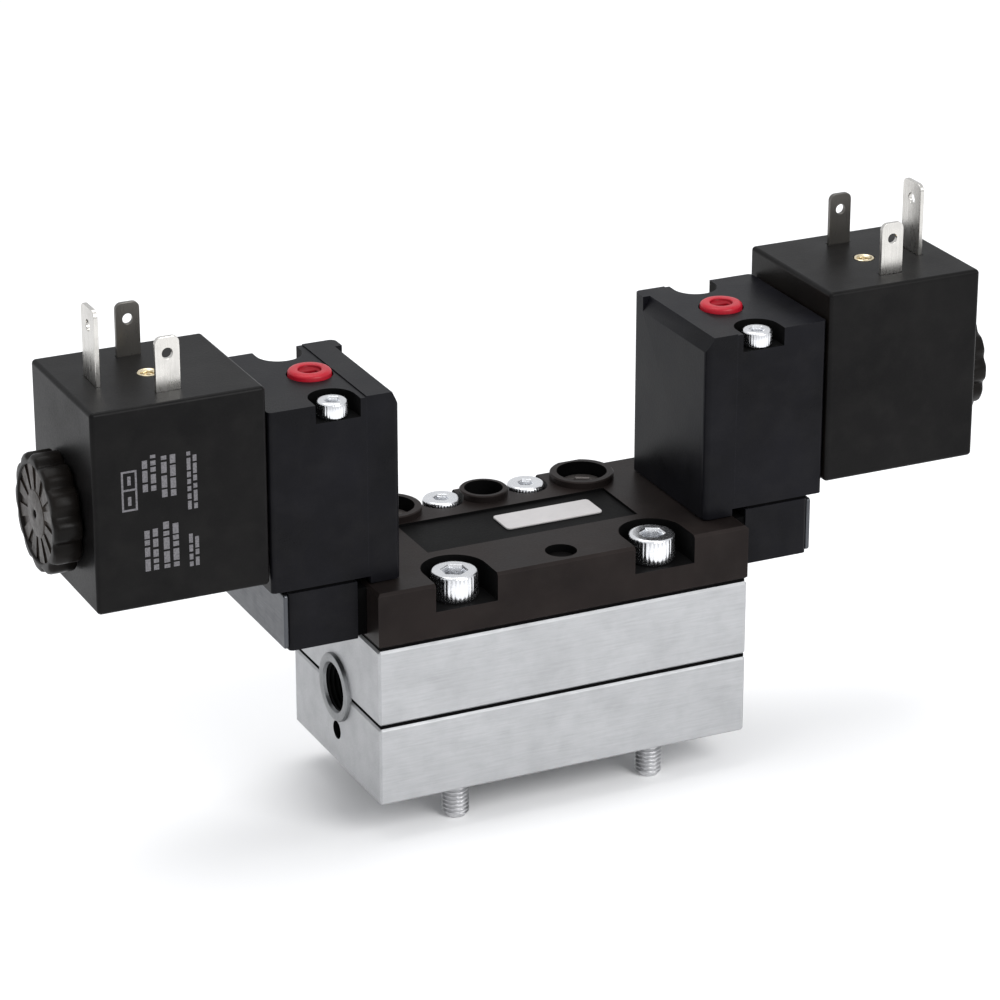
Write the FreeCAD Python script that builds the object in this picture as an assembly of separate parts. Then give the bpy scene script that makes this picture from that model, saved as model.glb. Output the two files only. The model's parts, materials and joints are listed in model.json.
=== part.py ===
import FreeCAD, Part
import math
import os

# Double-solenoid, pilot-operated 5/2 valve on a two-layer base. Millimetres.
# Frame: origin at the centre of the mounting face, +X along the spool, +Z up, -Y to the front.
# Everything on the right (+X) side is drawn first; the left side is its mirror image.

V = FreeCAD.Vector
X_AXIS = V(1, 0, 0)
Y_AXIS = V(0, 1, 0)
Z_AXIS = V(0, 0, 1)
ORIGIN = V(0, 0, 0)

# Base and valve body
HALF_LENGTH = 36.6
HALF_WIDTH = 19.6
LOWER_TOP = 14.9
UPPER_BOTTOM = 15.5
UPPER_TOP = 29.9
BODY_BOTTOM = 30.4
BODY_TOP = 40.9
SPLIT_Z = (LOWER_TOP + UPPER_BOTTOM) / 2
BASE_CHAMFER = 0.4
BODY_CHAMFER = 0.5

# Mounting screws, M5
SCREW_X = 19.6
SCREW_Y = 14.2
M5_R = 2.5
M5_SHANK_R = 2.25
M5_HOLE_R = 2.75
M5_HEAD_R = 4.25
M5_HEAD_H = 5.0
M5_HEX_AF = 4.0
POCKET_R = 6.0
POCKET_DEPTH = 5.3
REAR_COUNTERBORE_R = 4.7
REAR_SINK = 0.5
REAR_BOSS_R = 6.0
BOSS_RISE = 1.4
SCREW_STANDOUT = 7.5

# Spool
SPOOL_Z = 36.2
BODY_BORE_R = 3.2
LAND_R = 2.95
WAIST_R = 1.9
SEAL_R = 3.17
SPOOL_HALF = 39.0
SPOOL_TRAVEL = 4.0
SPOOL_REST = -SPOOL_TRAVEL / 2
PISTON_R = 3.6
PISTON_BORE_R = 3.8
PISTON_LENGTH = 5.0
LAND_CENTRES = (-31.5, -19.5, -6.5, 6.5, 19.5, 31.5)
LAND_HALF = 2.2
LAND_GROOVE_R = 2.35
LAND_GROOVE_HALF = 0.8
PISTON_GROOVE_R = 2.7
PISTON_GROOVE_HALF = 0.9

# Air ports in the mounting face: x, y of ports 5, 1, 3 and 4, 2
PORTS = [(-13.0, -5.5), (0.0, -5.5), (13.0, -5.5), (-6.5, 5.5), (6.5, 5.5)]
PORT_R = 3.0
PORT_WAY_R = 3.3
BODY_WAY_R = 2.7
PORT_GROOVE_R = 4.7
PORT_GROOVE_DEPTH = 1.2
PORT_RING_R = 4.0
PORT_RING_SECTION_R = 0.58

# Threaded end ports, G1/8, clamped between the halves
BUSH_R = 6.4
BUSH_LENGTH = 10.0
BUSH_PROUD = 0.8
END_PORT_R = 4.3
VENT_Z = 6.6
VENT_R = 1.7
VENT_DEPTH = 8.0
PILOT_WAY_X = 25.0
PILOT_WAY_R = 1.5
PILOT_LEAD_R = 3.0

# End caps
CAP_IN = 38.5
CAP_OUT = 51.4
COVER_OUT = 52.25
COVER_INSET = 0.3
CAP_GASKET_INSET = 0.4
CAP_FRONT = -14.9
CAP_BACK = 14.0
CAP_BOTTOM = 31.2
CAP_TOP = 42.0
CHAMBER_END = 48.5
CAP_SCREW_Y = 11.3
CAP_SCREW_Z = 35.2
CAP_SCREW_TIP = 30.5
AIR_WAY_X = 47.4
AIR_WAY_R = 1.0
PILOT_SEAT_R = 0.7

# Pilot valve blocks
PLATE_IN = 30.0
PILOT_IN = 36.2
PILOT_OUT = 54.4
PILOT_FRONT = -14.7
PILOT_BACK = 14.0
PILOT_GASKET_TOP = 42.5
PILOT_TOP = 76.0
PLATE_BOTTOM = 41.2
PILOT_SCREW_X = 41.5
PILOT_SCREW_Y = 12.0
PILOT_SCREW_TIP = 38.8
M3_R = 1.5
M3_HOLE_R = 1.6
M3_HEAD_R = 2.75
M3_HEAD_H = 3.0
M3_HEX_AF = 2.5
PILOT_POCKET_R = 4.2
PILOT_POCKET_DEPTH = 3.4
PILOT_REAR_POCKET_DEPTH = 6.6
OVERRIDE_X = 40.6
OVERRIDE_R = 3.9
OVERRIDE_PROUD = 1.0
OVERRIDE_STEM_R = 2.4
OVERRIDE_FLOOR = 75.2
OVERRIDE_FOOT = 63.4
OVERRIDE_RING_Z = (70.0, 71.4)
PLATE_BEVEL = (1.4, 2.8)
PLATE_POST = 3.6
PLATE_CORNER_R = 1.2
PLATE_RISE = 0.2

# Coils
COIL_IN = 54.8
COIL_OUT = 86.3
COIL_HALF = 15.0
COIL_BOTTOM = 44.5
COIL_TOP = 81.1
COIL_Z = 58.7
COIL_FILLET = 0.8
COIL_RING_R = 7.5
INSERT_R = 1.88
INSERT_BORE_R = 1.25
INSERT_DEPTH = 3.0
INSERT_PROUD = 0.1
YOKE_IN = 57.2
YOKE_OUT = 83.6
YOKE_PLATE = 2.4
YOKE_WEB = 1.2
YOKE_HALF = 12.4
BOBBIN_R = 11.0
BOBBIN_TUBE_R = 5.6
BOBBIN_BORE_R = 4.62
BOBBIN_FLANGE = 1.2
WINDING_R = 10.4

# Core tube, plunger and its spring
CORE_TUBE_R = 4.5
CORE_TUBE_BORE_R = 3.9
CORE_TUBE_IN = 50.2
CORE_TUBE_OUT = 85.6
SOCKET_FLOOR = 50.15
PLUNGER_R = 3.84
PLUNGER_IN = 54.0
PLUNGER_OUT = 70.0
PLUNGER_TRAVEL = 1.2
NOSE_R = 2.0
NOSE_IN = 50.5
PLUNGER_SEAL_R = 1.38
PLUNGER_SEAL_IN = 50.2
PLUNGER_SEAL_OUT = 51.7
SPRING_WELL_R = 2.2
SPRING_WELL_IN = 61.0
SPRING_R = 1.6
SPRING_WIRE_R = 0.25
SPRING_PITCH = 1.3
FIXED_CORE_IN = PLUNGER_OUT + PLUNGER_TRAVEL + 0.05

# Stud and nut that clamp the coil
STUD_R = 3.0
STUD_END = 91.0
NUT_R = 10.7
NUT_IN = 86.7
NUT_OUT = 91.8
NUT_RIBS = 12
NUT_RIB_R = 1.5

# Coil terminals
TERMINAL_X = 70.4
LINE_Y = 9.5
LINE_WIDTH = 4.4
LINE_HEIGHT = 9.7
EARTH_X = 80.5
EARTH_WIDTH = 6.3
EARTH_HEIGHT = 13.5
BLADE = 0.8
BLADE_ROOT = 3.5

# Label
LABEL_CENTRE = (6.4, 1.5)
LABEL_SIZE = (19.4, 6.6)
PAD = (-21.0, 21.0, -6.0, 8.0)
PAD_DEPTH = 0.5

# Low-head screws that hold the body to the base, M4
RETAINER_X = 8.6
RETAINER_Y = 15.4
RETAINER_HEAD_R = 3.5
RETAINER_HEAD_H = 3.5
RETAINER_HEX_AF = 2.5
RETAINER_R = 2.0
RETAINER_TIP = 24.0
RETAINER_POCKET_R = 4.1
RETAINER_DEPTH = 2.9

# Sunk plugs in the drillings of the body: x, y and radius. The rear one sits in a boss.
PLUGS = [(0.9, -15.2, 2.9), (-0.4, 14.6, 3.6)]
PLUG_SINK = 1.3
PLUG_HOLE_DEPTH = 4.0
PLUG_BOSS_R = 4.5


def box(x0, x1, y0, y1, z0, z1):
    """Block between two corners."""
    return Part.makeBox(x1 - x0, y1 - y0, z1 - z0, V(x0, y0, z0))


def rod_x(radius, x0, x1, y=0.0, z=SPOOL_Z):
    """Round bar along X."""
    return Part.makeCylinder(radius, x1 - x0, V(x0, y, z), X_AXIS)


def rod_y(radius, y0, y1, x, z):
    """Round bar along Y."""
    return Part.makeCylinder(radius, y1 - y0, V(x, y0, z), Y_AXIS)


def rod_z(radius, z0, z1, x=0.0, y=0.0):
    """Round bar along Z."""
    return Part.makeCylinder(radius, z1 - z0, V(x, y, z0), Z_AXIS)


def tube_x(outer, inner, x0, x1, y=0.0, z=COIL_Z):
    """Round tube along X."""
    return rod_x(outer, x0, x1, y, z).cut(rod_x(inner, x0, x1, y, z))


def edges_along(shape, axis, test=None):
    """Straight edges of the shape that run along one axis."""
    chosen = []
    for edge in shape.Edges:
        if edge.Curve.TypeId != "Part::GeomLine":
            continue
        direction = edge.tangentAt(edge.FirstParameter)
        if abs(abs(direction.dot(axis)) - 1) > 1e-6:
            continue
        middle = edge.valueAt((edge.FirstParameter + edge.LastParameter) / 2)
        if test is None or test(middle):
            chosen.append(edge)
    return chosen


def hexagon(across_flats, z0, z1, x, y):
    """Hexagonal prism standing along Z."""
    radius = across_flats / math.sqrt(3)
    corners = []
    for step in range(7):
        angle = math.radians(60 * step)
        corners.append(V(x + radius * math.cos(angle), y + radius * math.sin(angle), z0))
    return Part.Face(Part.makePolygon(corners)).extrude(V(0, 0, z1 - z0))


def cap_screw(x, y, seat, tip, radius, head_r, head_h, hex_af):
    """Socket head cap screw standing on the seat, with its shank down to the tip."""
    head = rod_z(head_r, seat, seat + head_h, x, y)
    head = head.makeChamfer(0.3, [head.Edges[0]])
    shank = rod_z(radius, tip, seat, x, y)
    shank = shank.makeChamfer(0.6, [shank.Edges[2]])
    socket = hexagon(hex_af, seat + head_h * 0.45, seat + head_h + 1, x, y)
    return head.fuse(shank).removeSplitter().cut(socket)


def mirrored(shape):
    """The same piece on the left side."""
    return shape.mirror(ORIGIN, X_AXIS)


def both_sides(shape):
    """A pair of identical pieces as one group of separate solids."""
    return Part.makeCompound([shape, mirrored(shape)])


def corner_points():
    """The four mounting screw places."""
    return [(sx * SCREW_X, sy * SCREW_Y) for sx in (-1, 1) for sy in (-1, 1)]


def open_pocket(radius, depth, top, x, y, edge):
    """Round pocket in a top face, open to the front or back edge."""
    floor = top - depth
    pocket = rod_z(radius, floor, top + 1, x, y)
    if edge < 0:
        return pocket.fuse(box(x - radius, x + radius, edge - 1, y, floor, top + 1))
    return pocket.fuse(box(x - radius, x + radius, y, edge + 1, floor, top + 1))


def screw_holes(bottom, top):
    """Clearance holes for the mounting screws."""
    return [rod_z(M5_HOLE_R, bottom - 1, top + 1, x, y) for x, y in corner_points()]


def port_holes(radius, bottom, top):
    """The five air ways."""
    return [rod_z(radius, bottom, top, x, y) for x, y in PORTS]


def retainer_holes(bottom, top):
    """Holes for the low-head screws."""
    return [rod_z(RETAINER_R, bottom, top, side * RETAINER_X, RETAINER_Y) for side in (-1, 1)]


def rod_out(radius, side, near, far, z, y=0.0):
    """Round bar along X on one side, between two distances from the middle."""
    start = min(side * near, side * far)
    return Part.makeCylinder(radius, far - near, V(start, y, z), X_AXIS)


def end_port_space(side):
    """Seat of a threaded bush and the way behind it."""
    seat_end = HALF_LENGTH + BUSH_PROUD - BUSH_LENGTH
    seat = rod_out(BUSH_R, side, seat_end, HALF_LENGTH + 1, SPLIT_Z)
    lead = rod_out(PILOT_LEAD_R, side, PILOT_WAY_X - PILOT_LEAD_R, seat_end, SPLIT_Z)
    return seat.fuse(lead)


# ---- Base ----

def base_block(bottom, top):
    """Plain base plate with its outer edges broken."""
    block = box(-HALF_LENGTH, HALF_LENGTH, -HALF_WIDTH, HALF_WIDTH, bottom, top)
    return block.makeChamfer(BASE_CHAMFER, block.Edges)


def lower_base():
    """Lower half of the base, with the air ports and their ring grooves."""
    plate = base_block(0, LOWER_TOP)
    grooves = [rod_z(PORT_GROOVE_R, -1, PORT_GROOVE_DEPTH, x, y) for x, y in PORTS]
    ways = port_holes(PORT_R, -1, LOWER_TOP + 1)
    ends = [end_port_space(-1), end_port_space(1)]
    vents = [rod_out(VENT_R, side, HALF_LENGTH - VENT_DEPTH, HALF_LENGTH + 1, VENT_Z) for side in (-1, 1)]
    return plate.cut(grooves + ways + ends + vents + screw_holes(0, LOWER_TOP))


def upper_base():
    """Upper half of the base, with the pilot supply ways up to the body."""
    plate = base_block(UPPER_BOTTOM, UPPER_TOP)
    ways = port_holes(PORT_WAY_R, UPPER_BOTTOM - 1, UPPER_TOP + 1)
    ends = [end_port_space(-1), end_port_space(1)]
    supplies = [rod_z(PILOT_WAY_R, SPLIT_Z, UPPER_TOP + 1, s * PILOT_WAY_X, 0) for s in (-1, 1)]
    threads = retainer_holes(RETAINER_TIP - 0.5, UPPER_TOP + 1)
    return plate.cut(ways + ends + supplies + threads + screw_holes(UPPER_BOTTOM, UPPER_TOP))


def flat_gasket(bottom, top, inset, openings):
    """Flat gasket a little smaller than the faces it seals."""
    sheet = box(inset - HALF_LENGTH, HALF_LENGTH - inset, inset - HALF_WIDTH, HALF_WIDTH - inset, bottom, top)
    ways = port_holes(PORT_WAY_R, bottom - 1, top + 1)
    return sheet.cut(ways + screw_holes(bottom, top) + openings)


def base_gasket():
    """Gasket between the halves of the base."""
    return flat_gasket(LOWER_TOP, UPPER_BOTTOM, 0.3, [end_port_space(-1), end_port_space(1)])


def body_gasket():
    """Gasket under the valve body, with the pilot supply ways."""
    supplies = [rod_z(PILOT_WAY_R, UPPER_TOP - 1, BODY_BOTTOM + 1, s * PILOT_WAY_X, 0) for s in (-1, 1)]
    threads = retainer_holes(UPPER_TOP - 1, BODY_BOTTOM + 1)
    return flat_gasket(UPPER_TOP, BODY_BOTTOM, 0.4, supplies + threads)


def end_port_bushes():
    """Threaded port bushes held between the halves of the base."""
    outer = HALF_LENGTH + BUSH_PROUD
    inner = outer - BUSH_LENGTH
    bush = rod_x(BUSH_R - 0.02, inner, outer, 0, SPLIT_Z)
    bush = bush.makeChamfer(0.3, [bush.Edges[0]])
    bore = rod_x(END_PORT_R, inner - 1, outer + 1, 0, SPLIT_Z)
    lead_in = 0.7
    mouth = Part.makeCone(END_PORT_R, END_PORT_R + lead_in, lead_in, V(outer - lead_in, 0, SPLIT_Z), X_AXIS)
    return both_sides(bush.cut([bore, mouth]))


def port_seals():
    """O-rings in the grooves of the mounting face."""
    middle = PORT_GROOVE_DEPTH / 2
    rings = [Part.makeTorus(PORT_RING_R, PORT_RING_SECTION_R, V(x, y, middle), Z_AXIS) for x, y in PORTS]
    return Part.makeCompound(rings)


# ---- Valve body ----


def rear_boss(radius, x, y):
    """Low round boss on the top face, cut flat in line with the rear edge."""
    post = rod_z(radius, BODY_TOP - 1, BODY_TOP + BOSS_RISE, x, y)
    post = post.makeChamfer(0.2, [post.Edges[0]])
    return post.common(box(x - radius, x + radius, 0, HALF_WIDTH, BODY_BOTTOM, 2 * BODY_TOP))


def body_block():
    """Solid body with its three bosses, before the holes."""
    block = box(-HALF_LENGTH, HALF_LENGTH, -HALF_WIDTH, HALF_WIDTH, BODY_BOTTOM, BODY_TOP)
    block = block.makeChamfer(BODY_CHAMFER, edges_along(block, X_AXIS) + edges_along(block, Y_AXIS))
    bosses = [rear_boss(REAR_BOSS_R, side * SCREW_X, SCREW_Y) for side in (-1, 1)]
    plug_x, plug_y, _ = PLUGS[1]
    bosses.append(rear_boss(PLUG_BOSS_R, plug_x, plug_y))
    return block.fuse(bosses)


def valve_body():
    """Flat body with the spool bore, screw pockets at the corners and the sunk label panel."""
    block = body_block()
    cuts = [rod_x(BODY_BORE_R, -HALF_LENGTH - 1, HALF_LENGTH + 1)]
    for x, y in corner_points():
        if y < 0:
            cuts.append(open_pocket(POCKET_R, POCKET_DEPTH, BODY_TOP, x, y, -HALF_WIDTH))
        else:
            cuts.append(rod_z(REAR_COUNTERBORE_R, screw_seat(y), BODY_TOP + 2 * BOSS_RISE, x, y))
    for side in (-1, 1):
        x = side * RETAINER_X
        cuts.append(open_pocket(RETAINER_POCKET_R, RETAINER_DEPTH, BODY_TOP, x, RETAINER_Y, HALF_WIDTH))
        cuts.append(rod_z(RETAINER_R + 0.2, BODY_BOTTOM - 1, BODY_TOP, x, RETAINER_Y))
        cuts.append(rod_z(PILOT_WAY_R, BODY_BOTTOM - 1, SPOOL_Z, side * PILOT_WAY_X, 0))
    for x, y, radius in PLUGS:
        cuts.append(rod_z(radius, BODY_TOP - PLUG_HOLE_DEPTH, BODY_TOP + 2 * BOSS_RISE, x, y))
    x0, x1, y0, y1 = PAD
    cuts.append(box(x0, x1, y0, y1, BODY_TOP - PAD_DEPTH, BODY_TOP + 1))
    for side in (-1, 1):
        for y in (-CAP_SCREW_Y, CAP_SCREW_Y):
            cuts.append(rod_out(M3_R, side, CAP_SCREW_TIP - 1, HALF_LENGTH + 1, CAP_SCREW_Z, y))
    cuts += port_holes(BODY_WAY_R, BODY_BOTTOM - 1, SPOOL_Z)
    return block.cut(cuts + screw_holes(BODY_BOTTOM, BODY_TOP))


def screw_seat(y):
    """Height of a mounting screw's seat: the rear ones are sunk deeper."""
    seat = BODY_TOP - POCKET_DEPTH
    return seat if y < 0 else seat - REAR_SINK


def body_screw(x, y):
    """Long cap screw with a reduced shank inside the valve and a full-size threaded end below it."""
    screw = cap_screw(x, y, screw_seat(y), -SCREW_STANDOUT / 2, M5_SHANK_R, M5_HEAD_R, M5_HEAD_H, M5_HEX_AF)
    end = rod_z(M5_R, -SCREW_STANDOUT, 0, x, y)
    end = end.makeChamfer(0.6, [end.Edges[2]])
    return screw.fuse(end)


def body_screws():
    """Four screws through the body and both halves of the base."""
    return Part.makeCompound([body_screw(x, y) for x, y in corner_points()])


def retaining_screws():
    """Two low-head screws that hold the body to the base until it is mounted."""
    seat = BODY_TOP - RETAINER_DEPTH
    screws = []
    for side in (-1, 1):
        x = side * RETAINER_X
        screws.append(cap_screw(x, RETAINER_Y, seat, RETAINER_TIP, RETAINER_R,
                                RETAINER_HEAD_R, RETAINER_HEAD_H, RETAINER_HEX_AF))
    return Part.makeCompound(screws)


def passage_plugs():
    """Plugs sunk in the drillings of the body."""
    bottom = BODY_TOP - PLUG_HOLE_DEPTH
    plugs = []
    for x, y, radius in PLUGS:
        plug = rod_z(radius - 0.02, bottom, BODY_TOP - PLUG_SINK, x, y)
        plugs.append(plug.makeChamfer(0.3, [plug.Edges[0]]))
    return Part.makeCompound(plugs)


def label_plate():
    """Blank plate in the sunk panel."""
    cx, cy = LABEL_CENTRE
    sx, sy = LABEL_SIZE
    floor = BODY_TOP - PAD_DEPTH
    plate = box(cx - sx / 2, cx + sx / 2, cy - sy / 2, cy + sy / 2, floor, floor + 0.4)
    return plate.makeFillet(0.8, edges_along(plate, Z_AXIS))


def spool():
    """Spool with six sealing lands."""
    shape = rod_x(WAIST_R, SPOOL_REST - SPOOL_HALF, SPOOL_REST + SPOOL_HALF)
    lands = []
    grooves = []
    for place in LAND_CENTRES:
        x = SPOOL_REST + place
        lands.append(rod_x(LAND_R, x - LAND_HALF, x + LAND_HALF))
        low, high = x - LAND_GROOVE_HALF, x + LAND_GROOVE_HALF
        grooves.append(tube_x(LAND_R + 1, LAND_GROOVE_R, low, high, 0, SPOOL_Z))
    return shape.fuse(lands).removeSplitter().cut(grooves)


def seal_ring(outer, inner, x, half):
    """Seal round the spool line, a hair narrower than its groove."""
    return tube_x(outer, inner, x - half + 0.02, x + half - 0.02, 0, SPOOL_Z)


def spool_seals():
    """Seals on the lands of the spool."""
    places = [SPOOL_REST + place for place in LAND_CENTRES]
    return Part.makeCompound([seal_ring(SEAL_R, LAND_GROOVE_R, x, LAND_GROOVE_HALF) for x in places])


def piston_middle(side):
    """Middle of a pilot piston on the spool line."""
    return SPOOL_REST + side * (SPOOL_HALF + PISTON_LENGTH / 2)


def piston(side):
    """Pilot piston on one end of the spool."""
    x = piston_middle(side)
    body = rod_x(PISTON_R, x - PISTON_LENGTH / 2, x + PISTON_LENGTH / 2)
    groove = tube_x(PISTON_R + 1, PISTON_GROOVE_R, x - PISTON_GROOVE_HALF, x + PISTON_GROOVE_HALF, 0, SPOOL_Z)
    return body.cut(groove)


def pistons():
    """Both pilot pistons."""
    return Part.makeCompound([piston(-1), piston(1)])


def piston_seals():
    """Seals of the two pistons."""
    outer = PISTON_BORE_R - 0.03
    rings = [seal_ring(outer, PISTON_GROOVE_R, piston_middle(side), PISTON_GROOVE_HALF) for side in (-1, 1)]
    return Part.makeCompound(rings)


# ---- End caps, right side ----

def end_cap():
    """Cap with the piston chamber, carrying the pilot valve."""
    block = box(CAP_IN, CAP_OUT, CAP_FRONT, CAP_BACK, CAP_BOTTOM, CAP_TOP)
    block = block.makeFillet(0.8, edges_along(block, Z_AXIS, lambda p: p.x > CAP_OUT - 0.1))
    cuts = [rod_x(PISTON_BORE_R, CAP_IN - 1, CHAMBER_END)]
    cuts.append(rod_z(AIR_WAY_R, SPOOL_Z, CAP_TOP + 1, AIR_WAY_X, 0))
    for y in (-CAP_SCREW_Y, CAP_SCREW_Y):
        cuts.append(rod_x(M3_HOLE_R, CAP_IN - 1, CAP_OUT + 1, y, CAP_SCREW_Z))
        cuts.append(rod_x(M3_HEAD_R + 0.3, CAP_OUT - M3_HEAD_H - 0.2, CAP_OUT + 1, y, CAP_SCREW_Z))
    for y in (-PILOT_SCREW_Y, PILOT_SCREW_Y):
        cuts.append(rod_z(M3_R, PILOT_SCREW_TIP - 0.4, CAP_TOP + 1, PILOT_SCREW_X, y))
    return block.cut(cuts)


def end_cap_cover():
    """Thin metal plate over the screw heads on the end of the cap."""
    y0 = CAP_FRONT + COVER_INSET
    y1 = CAP_BACK - COVER_INSET
    plate = box(CAP_OUT, COVER_OUT, y0, y1, CAP_BOTTOM + COVER_INSET, CAP_TOP - COVER_INSET)
    return plate.makeFillet(0.6, edges_along(plate, X_AXIS))


def end_cap_gasket():
    """Thick gasket between the body and the cap, a little smaller than the cap."""
    sheet = box(HALF_LENGTH, CAP_IN, CAP_FRONT + CAP_GASKET_INSET, CAP_BACK - CAP_GASKET_INSET,
                CAP_BOTTOM + CAP_GASKET_INSET, BODY_TOP - CAP_GASKET_INSET)
    cuts = [rod_x(PISTON_BORE_R, HALF_LENGTH - 1, CAP_IN + 1)]
    cuts += [rod_x(M3_HOLE_R, HALF_LENGTH - 1, CAP_IN + 1, y, CAP_SCREW_Z) for y in (-CAP_SCREW_Y, CAP_SCREW_Y)]
    return sheet.cut(cuts)


def end_cap_screws():
    """Screws along the body that hold both caps."""
    seat = CAP_OUT - M3_HEAD_H - 0.2
    screws = []
    for y in (-CAP_SCREW_Y, CAP_SCREW_Y):
        upright = cap_screw(0, 0, 0, CAP_SCREW_TIP - seat, M3_R, M3_HEAD_R, M3_HEAD_H, M3_HEX_AF)
        upright.rotate(ORIGIN, Y_AXIS, 90)
        upright.translate(V(seat, y, CAP_SCREW_Z))
        screws.append(upright)
        screws.append(mirrored(upright))
    return Part.makeCompound(screws)


# ---- Pilot valve, right side ----

def pilot_gasket():
    """Gasket between the cap and the pilot block."""
    sheet = box(CAP_IN + 0.4, CAP_OUT - 0.2, PILOT_FRONT + 0.2, PILOT_BACK - 0.1, CAP_TOP, PILOT_GASKET_TOP)
    cuts = [rod_z(AIR_WAY_R + 0.2, CAP_TOP - 1, PILOT_GASKET_TOP + 1, AIR_WAY_X, 0)]
    for y in (-PILOT_SCREW_Y, PILOT_SCREW_Y):
        cuts.append(rod_z(M3_HOLE_R, CAP_TOP - 1, PILOT_GASKET_TOP + 1, PILOT_SCREW_X, y))
    return sheet.cut(cuts)


def pilot_screw_depth(y):
    """How far below the top a pilot screw seats; the rear one is sunk deeper."""
    return PILOT_POCKET_DEPTH if y < 0 else PILOT_REAR_POCKET_DEPTH


def pilot_body():
    """Pilot valve block with the core tube socket, air ways and override well."""
    block = box(PILOT_IN, PILOT_OUT, PILOT_FRONT, PILOT_BACK, PILOT_GASKET_TOP, PILOT_TOP)
    outer = edges_along(block, Z_AXIS, lambda p: p.x > PILOT_OUT - 0.1)
    block = block.makeFillet(0.8, outer)
    cuts = [
        rod_x(CORE_TUBE_R + 0.05, SOCKET_FLOOR, PILOT_OUT + 1, 0, COIL_Z),
        rod_x(PILOT_SEAT_R, AIR_WAY_X, CORE_TUBE_IN, 0, COIL_Z),
        rod_z(AIR_WAY_R, PILOT_GASKET_TOP - 1, COIL_Z, AIR_WAY_X, 0),
        rod_z(OVERRIDE_STEM_R + 0.06, OVERRIDE_FOOT - 0.4, PILOT_TOP + 1, OVERRIDE_X, 0),
        rod_z(OVERRIDE_R + 0.25, OVERRIDE_FLOOR - 0.4, PILOT_TOP + 1, OVERRIDE_X, 0),
    ]
    for y in (-PILOT_SCREW_Y, PILOT_SCREW_Y):
        edge = PILOT_FRONT if y < 0 else PILOT_BACK
        cuts.append(open_pocket(PILOT_POCKET_R, pilot_screw_depth(y), PILOT_TOP, PILOT_SCREW_X, y, edge))
        cuts.append(rod_z(M3_HOLE_R, PILOT_GASKET_TOP - 1, PILOT_TOP, PILOT_SCREW_X, y))
    return block.cut(cuts)


def pilot_plate():
    """Inner face plate of the pilot block, bevelled along its top edge except for a post at the rear."""
    top = PILOT_TOP + PLATE_RISE
    plate = box(PLATE_IN, PILOT_IN, PILOT_FRONT, PILOT_BACK, PLATE_BOTTOM, top)
    plate = plate.makeFillet(PLATE_CORNER_R, edges_along(plate, Z_AXIS, lambda p: p.x < PLATE_IN + 0.1))
    across, down = PLATE_BEVEL
    front = PILOT_FRONT - 1
    corners = [V(PLATE_IN, front, top - down), V(PLATE_IN, front, top), V(PLATE_IN + across, front, top)]
    outline = Part.makePolygon(corners + corners[:1])
    bevel = Part.Face(outline).extrude(V(0, PILOT_BACK - PLATE_POST - front, 0))
    foot_gap = box(PILOT_IN - 0.4, PILOT_IN + 1, PILOT_FRONT - 1, PILOT_BACK + 1, 0, PILOT_GASKET_TOP)
    return plate.cut([bevel, foot_gap])


def pilot_screws():
    """Screws down through the pilot blocks into the end caps."""
    screws = []
    for y in (-PILOT_SCREW_Y, PILOT_SCREW_Y):
        seat = PILOT_TOP - pilot_screw_depth(y)
        screw = cap_screw(PILOT_SCREW_X, y, seat, PILOT_SCREW_TIP, M3_R, M3_HEAD_R, M3_HEAD_H, M3_HEX_AF)
        screws.append(screw)
        screws.append(mirrored(screw))
    return Part.makeCompound(screws)


def override_groove():
    """Ring groove round the stem of the override."""
    low, high = OVERRIDE_RING_Z
    space = rod_z(OVERRIDE_STEM_R + 1, low, high, OVERRIDE_X, 0)
    return space.cut(rod_z(OVERRIDE_STEM_R - 0.6, low, high, OVERRIDE_X, 0))


def override():
    """Slotted quarter-turn manual override."""
    top = PILOT_TOP + OVERRIDE_PROUD
    button = rod_z(OVERRIDE_R, OVERRIDE_FLOOR, top, OVERRIDE_X, 0)
    button = button.makeChamfer(0.4, [button.Edges[0]])
    stem = rod_z(OVERRIDE_STEM_R, OVERRIDE_FOOT, OVERRIDE_FLOOR, OVERRIDE_X, 0)
    flat = box(OVERRIDE_X + 1.2, OVERRIDE_X + 3, -3, 3, OVERRIDE_FOOT - 1, OVERRIDE_FOOT + 2.6)
    slot = box(OVERRIDE_X - 1.8, OVERRIDE_X + 1.8, -0.6, 0.6, top - 1.1, top + 1)
    return button.fuse(stem).cut([flat, slot, override_groove()])


def override_seal():
    """Ring in the groove of the override stem."""
    low, high = OVERRIDE_RING_Z
    ring = rod_z(OVERRIDE_STEM_R + 0.03, low + 0.05, high - 0.05, OVERRIDE_X, 0)
    return ring.cut(rod_z(OVERRIDE_STEM_R - 0.6, low, high, OVERRIDE_X, 0))


# ---- Solenoid, right side ----

def coil_housing():
    """Moulded coil body, hollow for the yoke, with slots for the blades."""
    block = box(COIL_IN, COIL_OUT, -COIL_HALF, COIL_HALF, COIL_BOTTOM, COIL_TOP)
    block = block.makeFillet(COIL_FILLET, block.Edges)
    hollow = box(YOKE_IN, YOKE_OUT, -YOKE_HALF, YOKE_HALF, COIL_Z - YOKE_HALF, COIL_Z + YOKE_HALF)
    bore = rod_x(CORE_TUBE_R + 0.1, COIL_IN - 1, COIL_OUT + 1, 0, COIL_Z)
    blades = [line_blade(-1), line_blade(1), earth_terminal()]
    insert_hole = rod_z(INSERT_R + 0.02, COIL_TOP - INSERT_DEPTH, COIL_TOP + 1, TERMINAL_X, 0)
    return block.cut([hollow, bore, insert_hole] + blades)


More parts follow.
